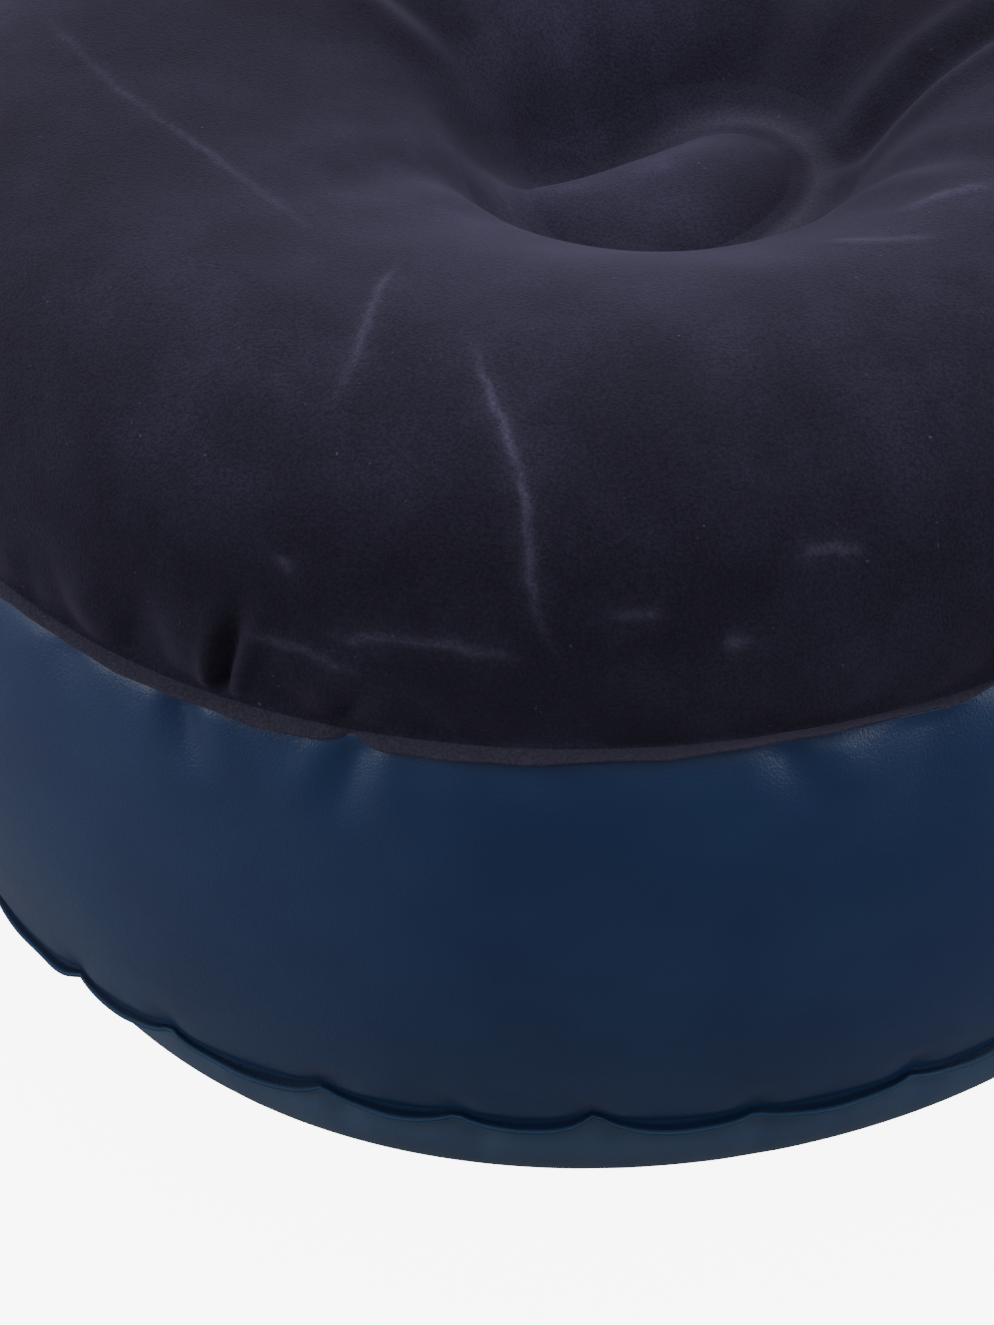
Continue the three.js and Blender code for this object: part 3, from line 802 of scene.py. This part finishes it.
def makeTether():
    hole = discRadius - 8 * mm
    upper = makeRing("tetherTopRing", ringLow, ringHigh, discX, hole, True)
    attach(upper, "seat")
    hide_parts("tether_top_ring")
    lower = makeRing("tetherBottomRing", baseRingLow, baseRingHigh, discX, hole, False)
    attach(lower, "base")
    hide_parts("tether_bottom_ring")

    tubeLow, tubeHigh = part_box("tether_tube")
    radius, film = (tubeHigh.x - tubeLow.x) / 2, tether["film"] * mm
    wall = []
    for share in np.linspace(0, 1, tether["rings"]):
        waist = tether["waist"] * mm * math.sin(math.pi * share)
        wall.append((radius - waist, tubeLow.z + (tubeHigh.z - tubeLow.z) * share))
    profile = wall + [(r - film, z) for r, z in wall[::-1]] + [wall[0]]
    piece = turnProfile("tetherTube", inPlane(profile), tether["steps"])
    points = readPoints(piece)
    angle = np.arctan2(points[:, 1], points[:, 0])
    share = (points[:, 2] - tubeLow.z) / (tubeHigh.z - tubeLow.z)
    slack = 1 + 0.012 * np.sin(9 * angle + 3 * share) * np.sin(math.pi * np.clip(share, 0, 1))
    points[:, :2] *= slack[:, None]
    points[:, 0] += discX
    points[:, 2] += sagOf(points) * np.clip(share, 0, 1) ** 3
    writePoints(piece, points)
    piece.data.materials.append(innerPvc)
    smoothShade(piece)
    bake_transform(piece)
    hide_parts("tether_tube")
    print("tether made")


makeTether()

valveShape = {
    "steps": 72, "edge": 0.25,        # bevel on every edge, mm
    "weldRings": [15.5, 17.5, 19.5, 21.5], "grips": 18, "gripDepth": 0.5,
    "neck": 13, "bore": 10, "pumpBore": 5, "plateRise": 1.5,    # radii, and the rise above the band
    "plugEnd": 7.8, "plugWaist": 8.6, "plugTop": 9.6, "plugHead": 2,
    "capEnd": 3.4, "capTop": 4.6, "capHead": 1.6,
    "strapHalf": 3.5, "capStrapHalf": 2.5, "tabHalf": 3, "tabRibs": [-12.5, -11.1, -9.7],
    "axisHole": 0.02,                 # left round the axis until closeEnds draws it together
}


def addStrap(lowCorner, highCorner, edge):
    # a flat strip of soft PVC between two corners, with its edges rounded
    low, high = Vector(lowCorner), Vector(highCorner)
    bpy.ops.object.select_all(action="DESELECT")
    bpy.ops.mesh.primitive_cube_add(size=1, location=(low + high) / 2, scale=high - low)
    strap = bpy.context.object
    bpy.ops.object.transform_apply(location=True, rotation=True, scale=True)
    bpy.ops.object.mode_set(mode="EDIT")
    bpy.ops.mesh.select_all(action="SELECT")
    bpy.ops.mesh.bevel(offset=edge, segments=3, affect="EDGES")
    bpy.ops.object.mode_set(mode="OBJECT")
    return strap


def makeValvePiece(name, node, body, outline, straps, finish, shape=None):
    # the outline is (radius, distance out along +Y), turned about the valve's own axis
    profile = [(r, y, valveZ) for r, y in outline]
    piece = turnProfile(name, profile, valveShape["steps"], axis=(0, 1, 0), centre=(0, 0, valveZ))
    if outline[0] != outline[-1]:
        closeEnds(piece)
    useModifier(piece, "BEVEL", width=valveShape["edge"] * mm, segments=3, limit_method="ANGLE",
                angle_limit=math.radians(35))
    if shape:
        points = readPoints(piece)
        shape(points)
        writePoints(piece, points)
    parts = [addStrap(low, high, valveShape["edge"] * mm) for low, high in straps]
    bpy.ops.object.select_all(action="DESELECT")
    for part in parts + [piece]:
        part.select_set(True)
    bpy.context.view_layer.objects.active = piece
    if parts:
        bpy.ops.object.join()
    bpy.ops.object.shade_smooth_by_angle(angle=math.radians(40))
    piece.data.materials.clear()
    piece.data.materials.append(finish)
    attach(piece, body)
    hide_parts(node)


def makeValve():
    plugLow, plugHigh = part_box("valve_plug")
    capLow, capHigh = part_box("valve_cap")
    flapLow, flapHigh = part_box("valve_flap")
    face, neck, bore = bandHigh.x, valveShape["neck"] * mm, valveShape["bore"] * mm
    half, capHalf, tabHalf = (valveShape[key] * mm for key in ("strapHalf", "capStrapHalf", "tabHalf"))
    axisHole = valveShape["axisHole"] * mm
    lip, innerEnd, plate = valveHigh.y, valveLow.y, (valveHigh.z - valveLow.z) / 2

    # plate and neck in one moulding, welded to the inside of the band's hole
    top = face + valveShape["plateRise"] * mm
    rings = []
    for ring in valveShape["weldRings"]:
        rings += [(ring * mm - 0.5 * mm, top), (ring * mm - 0.3 * mm, top - 0.35 * mm),
                  (ring * mm + 0.3 * mm, top - 0.35 * mm), (ring * mm + 0.5 * mm, top)]
    outline = [(bore, innerEnd), (bore, lip), (neck, lip), (neck + 0.6 * mm, top)] + rings
    outline += [(plate - 0.6 * mm, top), (plate, face + 0.9 * mm), (plate, face + 0.3 * mm),
                (neck, face + 0.3 * mm), (neck, innerEnd), (bore, innerEnd)]

    def lieOnBand(points):
        onPlate = np.hypot(points[:, 0], points[:, 2] - valveZ) > neck + 0.2 * mm
        share = np.clip((points[:, 2] - lowerWeldZ) / (upperWeldZ - lowerWeldZ), 0, 1)
        lift = np.sqrt(wallRadius(share) ** 2 - points[:, 0] ** 2) - face
        points[:, 1] += np.where(onPlate, lift, 0)

    lug = ((valveLow.x, face - 0.5 * mm, valveZ - half),
           (plugLow.x - 0.8 * mm, face + 1.9 * mm, valveZ + half))
    makeValvePiece("valveBase", "valve_base", "base", outline, [lug], valvePvc, lieOnBand)

    # the large stopper, tapered to seal, with the pump's bore through it
    end, waist, rim, hole = (valveShape[key] * mm for key in ("plugEnd", "plugWaist", "plugTop", "pumpBore"))
    head, seat = plugHigh.x, plugHigh.y - valveShape["plugHead"] * mm
    outline = [(hole, plugLow.y), (end, plugLow.y), (waist, plugLow.y + 3.4 * mm), (rim, seat), (head, seat),
               (head, plugHigh.y), (head - 2.6 * mm, plugHigh.y), (head - 3 * mm, plugHigh.y - 0.5 * mm),
               (rim, plugHigh.y - 0.5 * mm), (rim - 0.4 * mm, plugHigh.y), (hole, plugHigh.y),
               (hole, plugLow.y)]

    def gripRim(points):
        x, z = points[:, 0], points[:, 2] - valveZ
        radius = np.hypot(x, z)
        grip = np.clip(np.cos(np.arctan2(z, x) * valveShape["grips"]), 0, 1) ** 2
        inward = 1 - valveShape["gripDepth"] * mm * grip * (radius > head - 1 * mm) / np.maximum(radius, mm)
        points[:, 0] = x * inward
        points[:, 2] = valveZ + z * inward

    strap = ((plugLow.x, seat, valveZ - half), (-head + 1.5 * mm, seat + 1.2 * mm, valveZ + half))
    makeValvePiece("valvePlug", "valve_plug", "plug", outline, [strap], valvePvc, gripRim)

    # the small stopper, with its strap and a ribbed tab to pull
    end, rim = valveShape["capEnd"] * mm, valveShape["capTop"] * mm
    head, seat = (capHigh.z - capLow.z) / 2, capHigh.y - valveShape["capHead"] * mm
    outline = [(axisHole, capLow.y), (end, capLow.y), (rim, seat), (head, seat),
               (head, capHigh.y - 0.5 * mm), (head - 1.4 * mm, capHigh.y), (head - 2.6 * mm, capHigh.y),
               (head - 3.2 * mm, capHigh.y - 0.6 * mm), (axisHole, capHigh.y - 0.6 * mm)]
    strap = ((head - 1.2 * mm, seat, valveZ - capHalf), (capHigh.x, seat + 1 * mm, valveZ + capHalf))
    tab = ((capLow.x, seat + 0.2 * mm, valveZ - tabHalf),
           (-head + 1.2 * mm, seat + 1.2 * mm, valveZ + tabHalf))
    ribHalf = tabHalf - 0.6 * mm
    ribs = [((x * mm, seat + 1 * mm, valveZ - ribHalf),
             (x * mm + 0.7 * mm, seat + 1.55 * mm, valveZ + ribHalf)) for x in valveShape["tabRibs"]]
    makeValvePiece("valveCap", "valve_cap", "cap", outline, [strap, tab] + ribs, valvePvc)

    # the one-way flap behind the plug's bore
    radius = flapHigh.x
    outline = [(axisHole, flapLow.y), (radius - 0.5 * mm, flapLow.y), (radius, flapLow.y + 0.3 * mm),
               (radius, flapHigh.y), (axisHole, flapHigh.y)]
    makeValvePiece("valveFlap", "valve_flap", "flap", outline, [], flapFilm)
    print("valve made")


makeValve()

studio = {"floorSize": 200, "floorGlow": 7.6, "roof": 0.58, "walls": 0.19, "leftWall": 0.15}   # m, strengths
view = {"back": 1.0764, "up": 0.846, "turn": -2.21, "pitch": 36.9, "roll": -2.06, "lens": 86.9,
        "sensor": 36}                 # metres, degrees and mm
lights = [  # (name, place, aims at, size, watts, colour)
    ("backLeftSoftbox", (-1.4, 1.4, 1.5), (0, 0, 0.3), 1.1, 11, "#ffffff"),
    ("leftSoftbox", (-2.0, -0.7, 0.9), (0, 0, 0.15), 1.2, 12, "#f4f8ff"),
    ("rightSoftbox", (2.0, -0.8, 0.9), (0, 0, 0.15), 1.2, 15, "#f4f8ff"),
    ("overheadSoftbox", (0.15, 0.35, 2.2), (0, 0, 0.3), 1.0, 14, "#ffffff"),
]


def makeStage():
    bpy.ops.object.select_all(action="DESELECT")
    bpy.ops.mesh.primitive_plane_add(size=studio["floorSize"])
    floor = bpy.context.object
    floor.name = "studioFloor"
    floor.data.materials.append(floorMaterial())
    # it glows for the camera like a light table, but doesn't light the piece from below
    floor.visible_diffuse = False
    floor.visible_glossy = False
    for name, place, aim, size, watts, colour in lights:
        bpy.ops.object.light_add(type="AREA", location=place)
        lamp = bpy.context.object
        lamp.name = name
        lamp.data.shape = "DISK"
        lamp.data.size = size
        lamp.data.energy = watts
        lamp.data.color = linearColour(colour)[:3]
        lamp.rotation_euler = (Vector(aim) - Vector(place)).to_track_quat("-Z", "Y").to_euler()
    world = bpy.data.worlds.new("studioWorld")
    bpy.context.scene.world = world
    world.use_nodes = True
    # a light tent with a bright roof and a pale left wall; glossy walls stay deep in colour elsewhere
    tree = world.node_tree
    direction = addNode(tree, "ShaderNodeTexCoord").outputs["Generated"]
    across, _, height = addNode(tree, "ShaderNodeSeparateXYZ", None, {0: direction}).outputs
    roof = addNode(tree, "ShaderNodeMapRange", None,
                   {"Value": height, "From Min": 0.25, "From Max": 0.7,
                    "To Min": studio["walls"], "To Max": studio["roof"]})
    leftWall = addNode(tree, "ShaderNodeMapRange", None,
                       {"Value": across, "From Min": -0.3, "From Max": -0.9,
                        "To Min": 0.0, "To Max": studio["leftWall"]})
    glow = addNode(tree, "ShaderNodeMath", {"operation": "ADD"}, {0: roof.outputs[0], 1: leftWall.outputs[0]})
    tree.links.new(glow.outputs[0], tree.nodes["Background"].inputs["Strength"])
    tree.nodes["Background"].inputs["Color"].default_value = (1, 1, 1, 1)

    turn, pitch, roll = (math.radians(view[key]) for key in ("turn", "pitch", "roll"))
    forward = Vector((math.sin(turn) * math.cos(pitch), math.cos(turn) * math.cos(pitch), -math.sin(pitch)))
    right = Vector((math.cos(turn), -math.sin(turn), 0))
    up = right.cross(forward)
    leanRight = right * math.cos(roll) + up * math.sin(roll)
    leanUp = up * math.cos(roll) - right * math.sin(roll)
    bpy.ops.object.camera_add()
    camera = bpy.context.object
    camera.name = "studioCamera"
    axes = Matrix((leanRight, leanUp, -forward)).transposed().to_4x4()
    camera.matrix_world = Matrix.Translation((0, -view["back"], view["up"])) @ axes
    camera.data.lens = view["lens"]
    camera.data.sensor_width = view["sensor"]
    bpy.context.scene.camera = camera


makeStage()
print("stage made")
